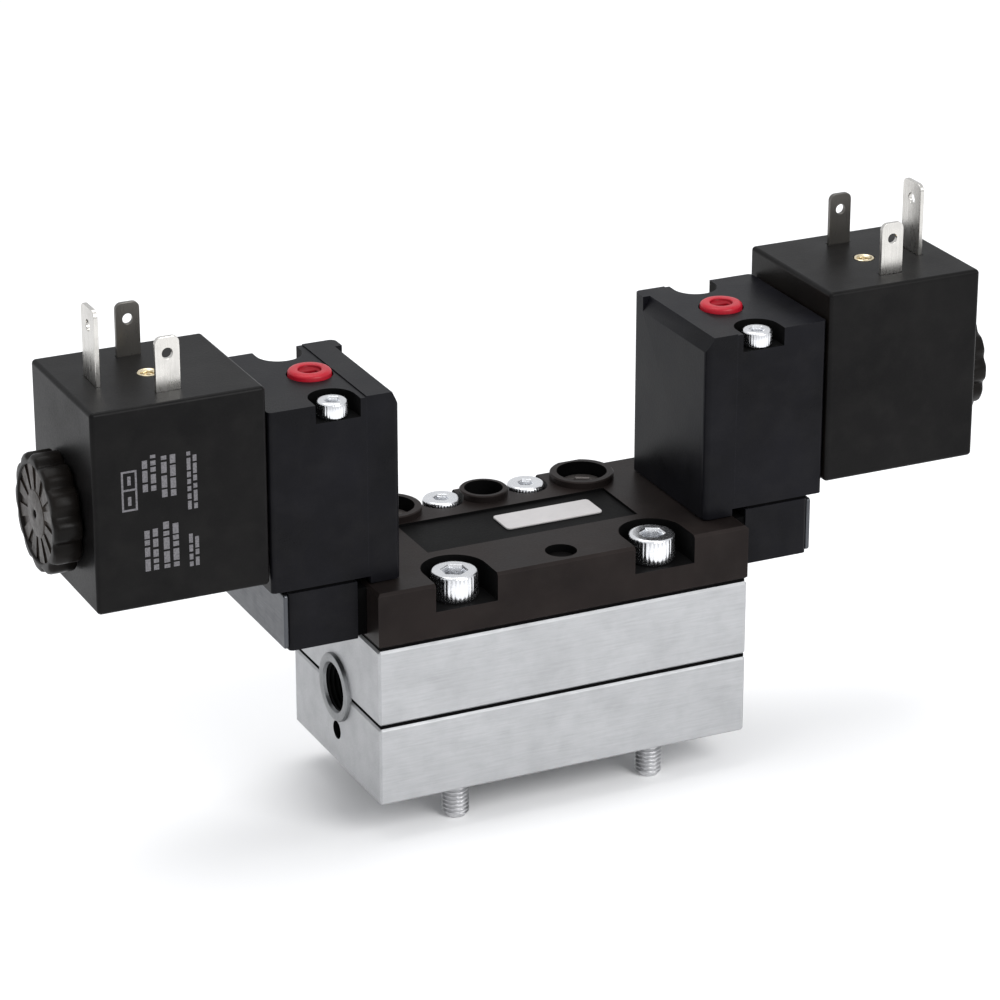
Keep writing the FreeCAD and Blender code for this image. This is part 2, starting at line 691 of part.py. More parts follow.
def coil_yoke():
    """Steel frame that carries the flux round the winding."""
    frame = box(YOKE_IN, YOKE_OUT, -YOKE_HALF, YOKE_HALF, COIL_Z - YOKE_HALF, COIL_Z + YOKE_HALF)
    window = box(YOKE_IN + YOKE_PLATE, YOKE_OUT - YOKE_PLATE, -YOKE_HALF - 1, YOKE_HALF + 1,
                 COIL_Z - YOKE_HALF + YOKE_WEB, COIL_Z + YOKE_HALF + 1)
    bore = rod_x(BOBBIN_BORE_R, YOKE_IN - 1, YOKE_OUT + 1, 0, COIL_Z)
    return frame.cut([window, bore])


def coil_bobbin():
    """Flanged bobbin on the core tube."""
    start = YOKE_IN + YOKE_PLATE
    end = YOKE_OUT - YOKE_PLATE
    shape = rod_x(BOBBIN_TUBE_R, start, end, 0, COIL_Z)
    flanges = [rod_x(BOBBIN_R, start, start + BOBBIN_FLANGE, 0, COIL_Z),
               rod_x(BOBBIN_R, end - BOBBIN_FLANGE, end, 0, COIL_Z)]
    return shape.fuse(flanges).cut(rod_x(BOBBIN_BORE_R, start - 1, end + 1, 0, COIL_Z))


def coil_winding():
    """Copper winding as one closed ring."""
    start = YOKE_IN + YOKE_PLATE + BOBBIN_FLANGE
    end = YOKE_OUT - YOKE_PLATE - BOBBIN_FLANGE
    return tube_x(WINDING_R, BOBBIN_TUBE_R, start, end)


def core_tube():
    """Tube the plunger slides in, screwed into the pilot block."""
    return tube_x(CORE_TUBE_R, CORE_TUBE_BORE_R, CORE_TUBE_IN, CORE_TUBE_OUT)


def fixed_core():
    """Stator in the outer end of the tube, with the stud for the nut."""
    core = rod_x(CORE_TUBE_BORE_R, FIXED_CORE_IN, CORE_TUBE_OUT, 0, COIL_Z)
    stud = rod_x(STUD_R, CORE_TUBE_OUT, STUD_END, 0, COIL_Z)
    stud = stud.makeChamfer(0.4, [stud.Edges[0]])
    return core.fuse(stud)


def plunger():
    """Moving core with a nose for its seal and a well for its spring."""
    body = rod_x(PLUNGER_R, PLUNGER_IN, PLUNGER_OUT, 0, COIL_Z)
    nose = rod_x(NOSE_R, NOSE_IN, PLUNGER_IN, 0, COIL_Z)
    pocket = rod_x(PLUNGER_SEAL_R + 0.02, NOSE_IN - 1, PLUNGER_SEAL_OUT + 0.02, 0, COIL_Z)
    well = rod_x(SPRING_WELL_R, SPRING_WELL_IN, PLUNGER_OUT + 1, 0, COIL_Z)
    return body.fuse(nose).removeSplitter().cut([pocket, well])


def plunger_seal():
    """Rubber face that shuts the pilot seat."""
    return rod_x(PLUNGER_SEAL_R, PLUNGER_SEAL_IN, PLUNGER_SEAL_OUT, 0, COIL_Z)


def plunger_spring():
    """Return spring from the fixed core into the plunger's well, at its shortest length."""
    outer = FIXED_CORE_IN - SPRING_WIRE_R - 0.02
    inner = SPRING_WELL_IN + PLUNGER_TRAVEL + SPRING_WIRE_R + 0.02
    helix = Part.makeHelix(SPRING_PITCH, outer - inner, SPRING_R)
    section = Part.Wire(Part.makeCircle(SPRING_WIRE_R, V(SPRING_R, 0, 0), Y_AXIS))
    spring = Part.Wire(helix).makePipeShell([section], True, True)
    spring.rotate(ORIGIN, Y_AXIS, 90)
    spring.translate(V(inner, 0, COIL_Z))
    return spring


def coil_nut():
    """Round ribbed nut that clamps the coil."""
    body = rod_x(NUT_R - 0.7, NUT_IN, NUT_OUT, 0, COIL_Z)
    reach = NUT_R - NUT_RIB_R
    ribs = []
    for step in range(NUT_RIBS):
        angle = 2 * math.pi * step / NUT_RIBS
        y, z = reach * math.cos(angle), COIL_Z + reach * math.sin(angle)
        ribs.append(rod_x(NUT_RIB_R, NUT_IN, NUT_OUT, y, z))
    hole = rod_x(STUD_R + 0.02, NUT_IN - 1, NUT_OUT + 1, 0, COIL_Z)
    dish = tube_x(NUT_R - 2.6, STUD_R + 2.0, NUT_OUT - 0.9, NUT_OUT + 1)
    return body.fuse(ribs).removeSplitter().cut([hole, dish])


def coil_seals():
    """Rings at the two ends of each coil."""
    inner = tube_x(COIL_RING_R, CORE_TUBE_R + 0.1, PILOT_OUT, COIL_IN)
    outer = tube_x(COIL_RING_R, CORE_TUBE_R + 0.1, COIL_OUT, NUT_IN)
    rings = [inner, outer, mirrored(inner), mirrored(outer)]
    return Part.makeCompound(rings)


def line_blade(side):
    """Flat blade facing front or back, with a hole near its rounded tip."""
    y = side * LINE_Y
    tip = COIL_TOP + LINE_HEIGHT
    blade = box(TERMINAL_X - LINE_WIDTH / 2, TERMINAL_X + LINE_WIDTH / 2, y - BLADE / 2, y + BLADE / 2,
                COIL_TOP - BLADE_ROOT, tip)
    blade = blade.makeFillet(1.2, edges_along(blade, Y_AXIS, lambda p: p.z > tip - 0.1))
    return blade.cut(rod_y(0.95, y - 1, y + 1, TERMINAL_X, tip - 3.0))


def line_terminals():
    """The two line blades of one coil."""
    return Part.makeCompound([line_blade(-1), line_blade(1)])


def earth_terminal():
    """Taller, wider blade at the outer side."""
    tip = COIL_TOP + EARTH_HEIGHT
    blade = box(EARTH_X - BLADE / 2, EARTH_X + BLADE / 2, -EARTH_WIDTH / 2, EARTH_WIDTH / 2,
                COIL_TOP - BLADE_ROOT, tip)
    blade = blade.makeFillet(1.4, edges_along(blade, X_AXIS, lambda p: p.z > tip - 0.1))
    return blade.cut(rod_x(1.0, EARTH_X - 1, EARTH_X + 1, 0, tip - 3.4))


def terminal_insert():
    """Threaded insert for the connector screw."""
    bottom = COIL_TOP - INSERT_DEPTH
    insert = rod_z(INSERT_R, bottom, COIL_TOP + INSERT_PROUD, TERMINAL_X, 0)
    return insert.cut(rod_z(INSERT_BORE_R, bottom + 0.6, COIL_TOP + 1, TERMINAL_X, 0))


SINGLE = {
    "lower_base": lower_base,
    "upper_base": upper_base,
    "base_gasket": base_gasket,
    "body_gasket": body_gasket,
    "end_port_bushes": end_port_bushes,
    "port_seals": port_seals,
    "valve_body": valve_body,
    "body_screws": body_screws,
    "retaining_screws": retaining_screws,
    "passage_plugs": passage_plugs,
    "label_plate": label_plate,
    "spool": spool,
    "spool_seals": spool_seals,
    "pistons": pistons,
    "piston_seals": piston_seals,
    "end_cap_screws": end_cap_screws,
    "pilot_screws": pilot_screws,
    "coil_seals": coil_seals,
}

PAIRED = {
    "end_cap": end_cap,
    "end_cap_cover": end_cap_cover,
    "end_cap_gasket": end_cap_gasket,
    "pilot_gasket": pilot_gasket,
    "pilot_body": pilot_body,
    "pilot_plate": pilot_plate,
    "override": override,
    "override_seal": override_seal,
    "coil_housing": coil_housing,
    "coil_yoke": coil_yoke,
    "coil_bobbin": coil_bobbin,
    "coil_winding": coil_winding,
    "core_tube": core_tube,
    "fixed_core": fixed_core,
    "plunger": plunger,
    "plunger_seal": plunger_seal,
    "plunger_spring": plunger_spring,
    "coil_nut": coil_nut,
    "line_terminals": line_terminals,
    "earth_terminal": earth_terminal,
    "terminal_insert": terminal_insert,
}


def write(name, shape):
    """Save one node."""
    shape.exportStep(os.path.join("parts", name + ".step"))


def main():
    os.makedirs("parts", exist_ok=True)
    for name, make in SINGLE.items():
        write(name, make())
    for name, make in PAIRED.items():
        right = make()
        write(name + "_right", right)
        write(name + "_left", mirrored(right))


main()
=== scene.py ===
import json
import math
import random

import bmesh
import bpy
from mathutils import Matrix, Vector


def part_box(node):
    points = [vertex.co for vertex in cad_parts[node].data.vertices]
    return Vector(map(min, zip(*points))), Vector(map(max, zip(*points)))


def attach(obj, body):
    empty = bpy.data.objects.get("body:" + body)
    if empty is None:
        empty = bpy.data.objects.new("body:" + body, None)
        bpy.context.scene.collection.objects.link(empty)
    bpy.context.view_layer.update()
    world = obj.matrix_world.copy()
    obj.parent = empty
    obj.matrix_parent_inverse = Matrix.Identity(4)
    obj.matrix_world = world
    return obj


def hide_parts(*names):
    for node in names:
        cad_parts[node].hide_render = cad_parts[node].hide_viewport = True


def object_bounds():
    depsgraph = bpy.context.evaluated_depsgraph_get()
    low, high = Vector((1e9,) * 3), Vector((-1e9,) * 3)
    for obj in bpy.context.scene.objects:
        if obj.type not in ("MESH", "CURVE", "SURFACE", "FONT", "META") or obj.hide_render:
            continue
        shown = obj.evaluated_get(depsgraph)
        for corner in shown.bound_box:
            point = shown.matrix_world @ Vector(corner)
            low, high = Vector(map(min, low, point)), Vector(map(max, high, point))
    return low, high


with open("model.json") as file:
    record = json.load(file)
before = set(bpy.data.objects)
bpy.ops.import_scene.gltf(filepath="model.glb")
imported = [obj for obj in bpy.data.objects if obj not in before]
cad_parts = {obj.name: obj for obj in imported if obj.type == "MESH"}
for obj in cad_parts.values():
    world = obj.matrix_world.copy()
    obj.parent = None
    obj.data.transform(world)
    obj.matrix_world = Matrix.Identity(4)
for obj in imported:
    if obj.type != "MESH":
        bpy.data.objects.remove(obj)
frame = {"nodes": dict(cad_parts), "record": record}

# Double-solenoid valve. Lengths below are in metres unless a name says mm.
CAD_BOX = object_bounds()
MM = 0.001
SIDES = ("left", "right")
SIGN = {"left": -1, "right": 1}


# ---------------------------------------------------------------- materials

class Shader:
    """One procedural material on object coordinates in millimetres."""

    def __init__(self, name):
        self.material = bpy.data.materials.new(name)
        self.material.use_nodes = True
        self.tree = self.material.node_tree
        self.tree.nodes.clear()
        out = self.node("ShaderNodeOutputMaterial")
        self.bsdf = self.node("ShaderNodeBsdfPrincipled")
        self.link(self.bsdf.outputs["BSDF"], out.inputs["Surface"])
        coord = self.node("ShaderNodeTexCoord")
        self.place = self.node("ShaderNodeMapping")
        self.place.inputs["Scale"].default_value = (1 / MM,) * 3
        self.link(coord.outputs["Object"], self.place.inputs["Vector"])
        self.normal = None

    def node(self, kind, **settings):
        made = self.tree.nodes.new(kind)
        for key, value in settings.items():
            setattr(made, key, value)
        return made

    def link(self, source, target):
        self.tree.links.new(source, target)

    def feed(self, socket, value):
        if isinstance(value, bpy.types.NodeSocket):
            self.link(value, socket)
        else:
            socket.default_value = value

    def noise(self, size_mm, detail=3.0, stretch=(1, 1, 1), roughness=0.55):
        """Soft noise, 0 to 1, with features of about that size."""
        vector = self.place.outputs["Vector"]
        if stretch != (1, 1, 1):
            mapping = self.node("ShaderNodeMapping")
            mapping.inputs["Scale"].default_value = stretch
            self.link(vector, mapping.inputs["Vector"])
            vector = mapping.outputs["Vector"]
        made = self.node("ShaderNodeTexNoise")
        made.inputs["Scale"].default_value = 1.0 / size_mm
        made.inputs["Detail"].default_value = detail
        made.inputs["Roughness"].default_value = roughness
        self.link(vector, made.inputs["Vector"])
        return made.outputs[0]

    def cells(self, size_mm):
        """Pebbled cells, 0 at their middles."""
        made = self.node("ShaderNodeTexVoronoi")
        made.inputs["Scale"].default_value = 1.0 / size_mm
        self.link(self.place.outputs["Vector"], made.inputs["Vector"])
        return made.outputs["Distance"]

    def remap(self, value, low, high, to_low=0.0, to_high=1.0):
        made = self.node("ShaderNodeMapRange")
        self.feed(made.inputs["Value"], value)
        made.inputs["From Min"].default_value = low
        made.inputs["From Max"].default_value = high
        made.inputs["To Min"].default_value = to_low
        made.inputs["To Max"].default_value = to_high
        return made.outputs["Result"]

    def calc(self, operation, a, b):
        made = self.node("ShaderNodeMath", operation=operation)
        self.feed(made.inputs[0], a)
        self.feed(made.inputs[1], b)
        return made.outputs[0]

    def blend(self, fac, a, b):
        """Colour a where fac is 0 and b where it is 1."""
        made = self.node("ShaderNodeMix", data_type="RGBA")
        self.feed(made.inputs[0], fac)
        self.feed(made.inputs[6], a)
        self.feed(made.inputs[7], b)
        return made.outputs[2]

    def edges(self, radius_mm, low=0.02, high=0.25):
        """1 along the edges of the piece and 0 on its flats."""
        bevel = self.node("ShaderNodeBevel", samples=4)
        bevel.inputs["Radius"].default_value = radius_mm * MM
        shape = self.node("ShaderNodeNewGeometry")
        dot = self.node("ShaderNodeVectorMath", operation="DOT_PRODUCT")
        self.link(bevel.outputs["Normal"], dot.inputs[0])
        self.link(shape.outputs["Normal"], dot.inputs[1])
        return self.remap(self.calc("SUBTRACT", 1.0, dot.outputs["Value"]), low, high)

    def bump(self, height, strength, depth_mm):
        made = self.node("ShaderNodeBump")
        made.inputs["Strength"].default_value = strength
        made.inputs["Distance"].default_value = depth_mm * MM
        self.link(height, made.inputs["Height"])
        if self.normal is not None:
            self.link(self.normal, made.inputs["Normal"])
        self.normal = made.outputs["Normal"]

    def finish(self, colour, roughness, metallic=0.0, **fixed):
        self.feed(self.bsdf.inputs["Base Color"], colour)
        self.feed(self.bsdf.inputs["Roughness"], roughness)
        self.bsdf.inputs["Metallic"].default_value = metallic
        for key, value in fixed.items():
            self.bsdf.inputs[key.replace("_", " ")].default_value = value
        if self.normal is not None:
            self.link(self.normal, self.bsdf.inputs["Normal"])
        return self.material


def rgba(r, g, b):
    return (r, g, b, 1.0)


WHITE = rgba(1, 1, 1)


def scaled(colour, k):
    return rgba(*(min(1.0, c * k) for c in colour[:3]))


def metal(name, colour, rough=0.3, brushed=None, grain=0.25, wear=1.2, spread=0.12, bump=0.15, metallic=1.0):
    """Metal with broad tone drift, fine tool marks, faint scratches and brighter edges."""
    s = Shader(name)
    stretch = {None: (1, 1, 1), "X": (0.05, 1, 1), "Y": (1, 0.05, 1), "Z": (1, 1, 0.05)}[brushed]
    broad = s.noise(9.0, 2.0)
    marks = s.noise(grain, 4.0, stretch, 0.7)
    stains = s.remap(s.noise(3.0, 5.0), 0.42, 0.72)
    tone = s.blend(s.remap(broad, 0.3, 0.7), scaled(colour, 1 - spread), scaled(colour, 1 + spread * 0.5))
    tone = s.blend(s.remap(marks, 0.35, 0.75, 0.0, 0.35), tone, scaled(colour, 0.72))
    tone = s.blend(s.calc("MULTIPLY", stains, 0.18), tone, scaled(colour, 0.65))
    tone = s.blend(s.calc("MULTIPLY", s.edges(0.35), 0.6), tone, scaled(colour, wear))
    roughness = s.calc("ADD", s.remap(marks, 0.3, 0.7, rough - 0.06, rough + 0.1),
                       s.calc("MULTIPLY", stains, 0.08))
    s.bump(marks, bump, 0.02)
    s.bump(broad, 0.12, 0.08)
    return s.finish(tone, roughness, metallic)


def plastic(name, colour, warm=None, rough=0.42, grain=0.22, spread=0.25, edge=2.4, bump=0.25, dust=0.006,
            specular=0.075, tint=WHITE):
    """Moulded plastic or paint with fine grain, drifting sheen, a little dust, and edges lightened partly as
    rubbing wear and partly as a painted highlight.
    """
    s = Shader(name)
    warm = warm or scaled(colour, 1.25)
    broad = s.noise(14.0, 3.0)
    fine = s.noise(grain, 3.0, roughness=0.65)
    pebble = s.cells(grain * 2.2)
    patches = s.remap(s.noise(4.5, 4.0), 0.45, 0.7)
    tone = s.blend(s.remap(broad, 0.35, 0.65), scaled(colour, 1 - spread), warm)
    tone = s.blend(s.remap(fine, 0.4, 0.8, 0.0, 0.3), tone, scaled(colour, 1.8))
    tone = s.blend(s.calc("MULTIPLY", patches, dust), tone, rgba(0.35, 0.33, 0.30))
    # Lighter edges: partly rubbing wear, partly a painted highlight along the edges
    rub_and_highlight = s.calc("MULTIPLY", s.edges(0.3), s.remap(s.noise(1.6, 4.0), 0.3, 0.6, 0.15, 0.75))
    tone = s.blend(rub_and_highlight, tone, scaled(colour, edge))
    roughness = s.calc("ADD", s.remap(broad, 0.3, 0.7, rough - 0.05, rough + 0.06),
                       s.remap(fine, 0.3, 0.7, -0.04, 0.06))
    s.bump(pebble, bump, 0.03)
    s.bump(fine, bump * 0.8, 0.02)
    s.bump(broad, 0.10, 0.10)
    return s.finish(tone, roughness, 0.0, Specular_IOR_Level=specular, Specular_Tint=tint)


def print_ink(name, colour):
    """Pad-printed ink, thin and a little broken."""
    s = Shader(name)
    gaps = s.remap(s.noise(0.35, 4.0), 0.35, 0.6)
    tone = s.blend(gaps, scaled(colour, 0.55), colour)
    s.bump(s.noise(0.2, 3.0), 0.2, 0.01)
    return s.finish(tone, s.remap(gaps, 0.0, 1.0, 0.6, 0.45), 0.0)


def foil_label(name, colour):
    """Pale foil, slightly rippled and greyed towards its edges."""
    s = Shader(name)
    ripple = s.noise(2.2, 3.0)
    grime = s.remap(s.noise(1.1, 5.0), 0.45, 0.75)
    fibre = s.noise(0.25, 4.0, (0.2, 1, 1))
    tone = s.blend(s.remap(ripple, 0.3, 0.7), scaled(colour, 0.96), scaled(colour, 1.03))
    tone = s.blend(s.calc("MULTIPLY", grime, 0.14), tone, rgba(0.42, 0.40, 0.38))
    tone = s.blend(s.calc("MULTIPLY", s.edges(0.25), 0.35), tone, scaled(colour, 0.6))
    s.bump(ripple, 0.25, 0.06)
    s.bump(fibre, 0.1, 0.01)
    return s.finish(tone, s.remap(fibre, 0.3, 0.7, 0.36, 0.5), 0.0)


METALS = {
    "machined_aluminium": dict(colour=rgba(0.445, 0.45, 0.46), rough=0.42, brushed="X", grain=0.3, wear=1.25,
                               spread=0.08, bump=0.2, metallic=0.75),
    "bright_steel": dict(colour=rgba(0.80, 0.81, 0.83), rough=0.20, grain=0.3, spread=0.08, bump=0.08),
    "cover_plate": dict(colour=rgba(0.080, 0.084, 0.092), rough=0.32, brushed="Y", wear=1.6, spread=0.1,
                        metallic=0.9),
    "tinned_blade": dict(colour=rgba(0.62, 0.605, 0.575), rough=0.24, brushed="Z", grain=0.3, spread=0.1,
                         bump=0.1),
    "dark_steel_nut": dict(colour=rgba(0.025, 0.019, 0.015), rough=0.36, grain=0.9, wear=2.4, spread=0.5,
                           bump=0.4, metallic=0.7),
    "port_bush": dict(colour=rgba(0.26, 0.265, 0.27), rough=0.34, grain=0.3, wear=1.5, spread=0.1, bump=0.1),
    "brass_insert": dict(colour=rgba(0.83, 0.72, 0.50), rough=0.22, grain=0.3, spread=0.08, bump=0.1),
    "core_steel": dict(colour=rgba(0.62, 0.62, 0.62), rough=0.25, brushed="X"),
    "spring_wire": dict(colour=rgba(0.55, 0.55, 0.56), rough=0.28),
    "yoke_steel": dict(colour=rgba(0.45, 0.45, 0.46), rough=0.35, brushed="X"),
    "copper_winding": dict(colour=rgba(0.75, 0.34, 0.18), grain=0.35, wear=1.3, spread=0.15, bump=0.3),
    "spool_aluminium": dict(colour=rgba(0.70, 0.71, 0.72), rough=0.25, brushed="Y"),
    # Darker copy of the screw steel for the rear screws: painted shade
    "painted_shade_steel": dict(colour=rgba(0.13, 0.118, 0.112), rough=0.38, grain=0.3, wear=1.8, spread=0.15,
                           metallic=0.9),
    "tip_steel": dict(colour=rgba(0.62, 0.62, 0.63), grain=0.3, spread=0.1, bump=0.1),
    # Darker copy of the tinned blade metal for the rear blades: painted shade and dark reflection
    "painted_shade_blade": dict(colour=rgba(0.115, 0.109, 0.10), brushed="Z", grain=0.3, wear=2.2, spread=0.15,
                       bump=0.12, metallic=0.8),
}
PLASTICS = {
    "black_coated_body": dict(colour=rgba(0.0092, 0.0072, 0.0068), warm=rgba(0.0130, 0.0100, 0.0092),
                              rough=0.40, grain=0.2, edge=2.6, bump=0.2, specular=0.10,
                              tint=rgba(1.0, 0.88, 0.86)),
    "black_plastic": dict(colour=rgba(0.0046, 0.0046, 0.0058), warm=rgba(0.0060, 0.0060, 0.0080), rough=0.33,
                          grain=0.18),
    "coil_moulding": dict(colour=rgba(0.0050, 0.0048, 0.0050), warm=rgba(0.0066, 0.0063, 0.0063), rough=0.36,
                          grain=0.24),
    "bobbin_plastic": dict(colour=rgba(0.50, 0.47, 0.40), rough=0.45, specular=0.4),
    "black_rubber": dict(colour=rgba(0.0018, 0.0018, 0.0019), rough=0.8, grain=0.3, spread=0.3, edge=1.6,
                         bump=0.4, dust=0.002, specular=0.03),
    "dark_plug": dict(colour=rgba(0.0025, 0.0022, 0.0022), rough=0.5, grain=0.2, spread=0.2, edge=1.6,
                      bump=0.2, dust=0.0, specular=0.04),
    "red_plastic": dict(colour=rgba(0.34, 0.006, 0.017), warm=rgba(0.40, 0.010, 0.022), rough=0.30,
                        grain=0.25, spread=0.12, edge=1.2, bump=0.12, dust=0.01, specular=0.22),
    "piston_plastic": dict(colour=rgba(0.72, 0.71, 0.66), rough=0.4, specular=0.4),
    # Darker copy of the red plastic for the button's recess: painted shade
    "painted_shade_red": dict(colour=rgba(0.20, 0.002, 0.008), warm=rgba(0.24, 0.003, 0.010), rough=0.35, grain=0.25,
                       spread=0.12, edge=1.2, bump=0.12, specular=0.12),
    # Near-black stand-in for faces in shade on the coils and coil nuts: painted shade
    "painted_shade_black": dict(colour=rgba(0.0040, 0.0034, 0.0030), warm=rgba(0.0060, 0.0045, 0.0036), rough=0.34,
                         grain=0.3, spread=0.3, edge=3.0, bump=0.2, dust=0.004, specular=0.10),
    # Near-black stand-in for the shade inside bores, pockets and vents: painted shade
    "painted_shade_bore": dict(colour=rgba(0.0030, 0.0030, 0.0031), rough=0.5, grain=0.25, spread=0.3, edge=1.8,
                      bump=0.3, dust=0.002, specular=0.05),
}
MATERIALS = {name: metal(name, **look) for name, look in METALS.items()}
MATERIALS.update({name: plastic(name, **look) for name, look in PLASTICS.items()})
MATERIALS["plain_label"] = foil_label("plain_label", rgba(0.44, 0.425, 0.425))
MATERIALS["pad_print"] = print_ink("pad_print", rgba(0.135, 0.13, 0.14))

SLOT_OF = {entry["node"]: entry["material_slot"] for entry in frame["record"]["subparts"]}
for node_name, node_object in frame["nodes"].items():
    node_object.data.materials.clear()
    node_object.data.materials.append(MATERIALS[SLOT_OF[node_name]])


# ---------------------------------------------------------------- mesh helpers

def new_piece(name, mesh, body, slot, *replaced, look=None):
    """An object on a CAD body, with the material of the given record slot or another look."""
    made = bpy.data.objects.new(name, mesh)
    bpy.context.scene.collection.objects.link(made)
    mesh.materials.clear()
    mesh.materials.append(MATERIALS[look or slot])
    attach(made, body)
    if replaced:
        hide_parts(*replaced)
    return made


def to_mesh(name, bm, smooth_deg=32):
    """Mesh with smooth faces and sharp edges above the given angle."""
    bmesh.ops.remove_doubles(bm, verts=bm.verts, dist=1e-7)
    bmesh.ops.recalc_face_normals(bm, faces=bm.faces)
    for face in bm.faces:
        face.smooth = True
    limit = math.radians(smooth_deg)
    for edge in bm.edges:
        edge.smooth = len(edge.link_faces) == 2 and edge.calc_face_angle(0.0) < limit
    mesh = bpy.data.meshes.new(name)
    bm.to_mesh(mesh)
    bm.free()
    return mesh


FLAT_FACE_WEIGHT = 100
BEVEL_ABOVE_DEG = 35
JOIN_BELOW_DEG = 1.5


def refined(node, body, width_mm, segments=3):
    """The CAD node's shape with flat faces joined up and its edges rounded."""
    bm = bmesh.new()
    bm.from_mesh(frame["nodes"][node].data)
    bmesh.ops.remove_doubles(bm, verts=bm.verts, dist=1e-6)
    bmesh.ops.dissolve_limit(bm, angle_limit=math.radians(JOIN_BELOW_DEG), verts=bm.verts, edges=bm.edges)
    mesh = to_mesh(node + "_detail", bm)
    piece = new_piece(node + "_detail", mesh, body, SLOT_OF[node], node)
    bevel = piece.modifiers.new("rounded edges", "BEVEL")
    bevel.width = width_mm * MM
    bevel.segments = segments
    bevel.limit_method = "ANGLE"
    bevel.angle_limit = math.radians(BEVEL_ABOVE_DEG)
    bevel.use_clamp_overlap = True
    weighted = piece.modifiers.new("flat faces", "WEIGHTED_NORMAL")
    weighted.weight = FLAT_FACE_WEIGHT
    weighted.keep_sharp = True
    return piece


def also(piece, look, test):
    """A second material on the faces whose middle, in millimetres, and normal pass the test."""
    piece.data.materials.append(MATERIALS[look])
    for face in piece.data.polygons:
        if test(face.center / MM, face.normal):
            face.material_index = len(piece.data.materials) - 1
    return piece


def polygon_radius(half_flat, angle, sides=6):
    """Distance from the middle to the outline of a regular polygon."""
    step = 2 * math.pi / sides
    turned = (angle + step / 2) % step - step / 2
    return half_flat / math.cos(turned)


def slot_radius(half_length, half_width, angle):
    """Distance from the middle to the outline of a straight slot."""
    across = abs(math.sin(angle)) or 1e-9
    along = abs(math.cos(angle)) or 1e-9
    return min(half_length / along, half_width / across)


def lathe(bm, rows, count, place):
    """Skin through rows of radius and height in mm.

    A radius may be a function of the angle, and a zero radius closes the skin.
    """
    rings = []
    for radius, height in rows:
        if radius == 0:
            rings.append([bm.verts.new(place @ Vector((0, 0, height * MM)))])
            continue
        ring = []
        for step in range(count):
            angle = 2 * math.pi * step / count
            r = (radius(angle) if callable(radius) else radius) * MM
            ring.append(bm.verts.new(place @ Vector((r * math.cos(angle), r * math.sin(angle), height * MM))))
        rings.append(ring)
    for below, above in zip(rings, rings[1:]):
        for step in range(count):
            after = (step + 1) % count
            loop = [below[step % len(below)], below[after % len(below)],
                    above[after % len(above)], above[step % len(above)]]
            loop = [v for i, v in enumerate(loop) if v not in loop[:i]]
            if len(loop) > 2:
                bm.faces.new(loop)


def join_loops(bm, low, high):
    """Closed block between two four-cornered loops of points."""
    low = [bm.verts.new(corner) for corner in low]
    high = [bm.verts.new(corner) for corner in high]
    bm.faces.new(low[::-1])
    bm.faces.new(high)
    for i in range(4):
        j = (i + 1) % 4
        bm.faces.new([low[i], low[j], high[j], high[i]])


def thread_rows(root, crest, start, end, pitch, per_turn=8):
    """Rows of a helical V thread between two heights."""
    rows = []
    total = max(2, round(abs(end - start) / pitch * per_turn))
    for step in range(total + 1):
        height = start + (end - start) * step / total

        def radius(angle, height=height):
            phase = (height / pitch - angle / (2 * math.pi)) % 1.0
            rise = min(1.0, max(0.0, 2.6 * (0.5 - abs(phase - 0.5)) - 0.1))
            return root + (crest - root) * rise

        rows.append((radius, height))
    return rows


def upright(x, y):
    """Local +Z points up at that place."""
    return Matrix.Translation((x * MM, y * MM, 0))


def along_x(side, y, z):
    """Local +Z points out along X on that side."""
    turn = Matrix.Rotation(math.radians(90) * side, 4, "Y")
    return Matrix.Translation((0, y * MM, z * MM)) @ turn


def node_boxes(node):
    """Low and high corner of every loose shell of a CAD node, in millimetres."""
    bm = bmesh.new()
    bm.from_mesh(frame["nodes"][node].data)
    bmesh.ops.remove_doubles(bm, verts=bm.verts, dist=1e-6)
    seen = set()
    boxes = []
    for start in bm.verts:
        if start.index in seen:
            continue
        stack, shell = [start], []
        seen.add(start.index)
        while stack:
            vert = stack.pop()
            shell.append(vert.co)
            for edge in vert.link_edges:
                other = edge.other_vert(vert)
                if other.index not in seen:
                    seen.add(other.index)
                    stack.append(other)
        low = Vector([min(c[i] for c in shell) for i in range(3)]) / MM
        high = Vector([max(c[i] for c in shell) for i in range(3)]) / MM
        boxes.append((low, high))
    bm.free()
    return boxes


# ---------------------------------------------------------------- bodies with rounded edges

# Node, width of the rounding in millimetres and its segments
SINGLE_BODIES = (("lower_base", 0.30, 3), ("upper_base", 0.30, 3), ("valve_body", 0.28, 3),
                 ("label_plate", 0.12, 2), ("passage_plugs", 0.25, 3))
PAIRED_BODIES = (("end_cap", 0.45, 3), ("end_cap_cover", 0.25, 3), ("pilot_body", 0.40, 3),
                 ("pilot_plate", 0.40, 3), ("coil_housing", 0.30, 3), ("line_terminals", 0.12, 2),
                 ("earth_terminal", 0.12, 2))
BOSS_RISE = 1.4
SHELL = 0.3
VENT_DEPTH = 9
VENT_HALF_WIDTH = 2
VENT_HEIGHTS = (4, 9)


def box_mm(node):
    """Low and high corner of a CAD node's box, in millimetres."""
    low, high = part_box(node)
    return low / MM, high / MM


def paint_shade_in_vents(piece):
    """Painted shade on the walls of the small vents in the lower base's ends."""
    end_face = box_mm("lower_base")[1].x
    low_z, high_z = VENT_HEIGHTS
    also(piece, "painted_shade_bore", lambda mid, normal: end_face - VENT_DEPTH < abs(mid.x) < end_face - 0.5
         and abs(mid.y) < VENT_HALF_WIDTH and low_z < mid.z < high_z)


def paint_shade_in_hollows(piece, node, low_reach, high_reach):
    """Painted shade on the walls and floors of every pocket that lies inside the outer faces."""
    low, high = box_mm(node)
    inner_low = low + Vector(low_reach)
    inner_high = high - Vector(high_reach)
    also(piece, "painted_shade_bore", lambda mid, normal: all(inner_low[i] < mid[i] < inner_high[i] for i in range(3)))


